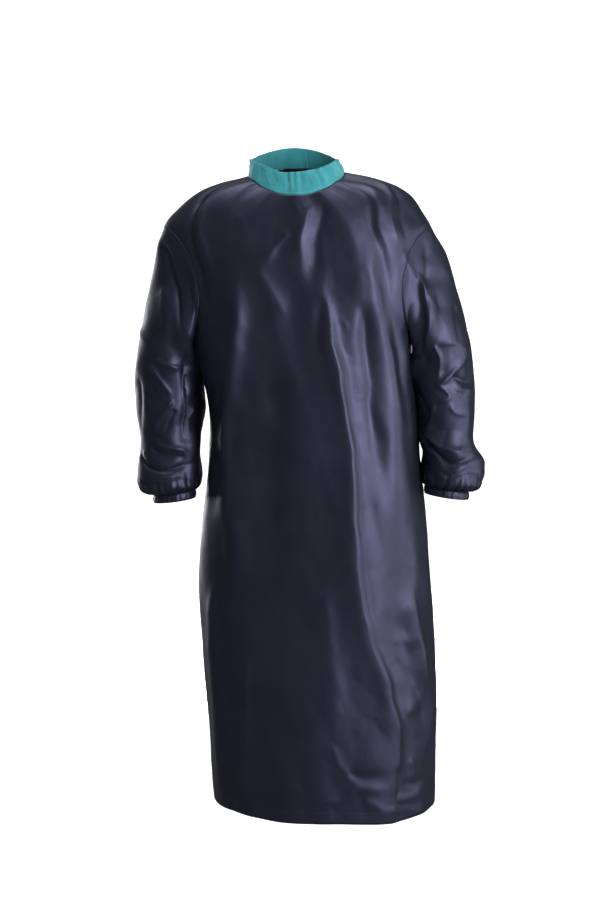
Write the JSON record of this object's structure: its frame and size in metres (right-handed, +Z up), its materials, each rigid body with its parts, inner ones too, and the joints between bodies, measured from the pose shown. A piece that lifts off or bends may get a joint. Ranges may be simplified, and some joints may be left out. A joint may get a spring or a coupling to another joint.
{
  "type": "surgical gown",
  "caption": "Long-sleeved surgical gown in navy coated cloth, as worn, with a teal stand collar, elastic cuffs and backs that lap and tie.",
  "frame": {"origin": "where the gown rests on the wearer's shoulders, in the middle of the neck, level with the neck ends of the shoulder seams", "axes": "+Z up, the wearer faces -Y, the wearer's left arm is at +X"},
  "size_m": [0.7217, 0.3463, 1.3702],
  "materials": {
    "navy_cloth": "coated, soft sheen",
    "teal_cotton": "matt plain weave"
  },
  "bodies": {
    "root": {"front": "navy_cloth", "back_left": "navy_cloth", "back_right": "navy_cloth", "sleeve_left": "navy_cloth", "sleeve_right": "navy_cloth", "cuff_left": "navy_cloth", "cuff_right": "navy_cloth", "tie_left": "navy_cloth", "tie_right": "navy_cloth", "tie_knot": "navy_cloth", "tie_end_left": "navy_cloth", "tie_end_right": "navy_cloth", "collar": "teal_cotton"}
  },
  "joints": []
}
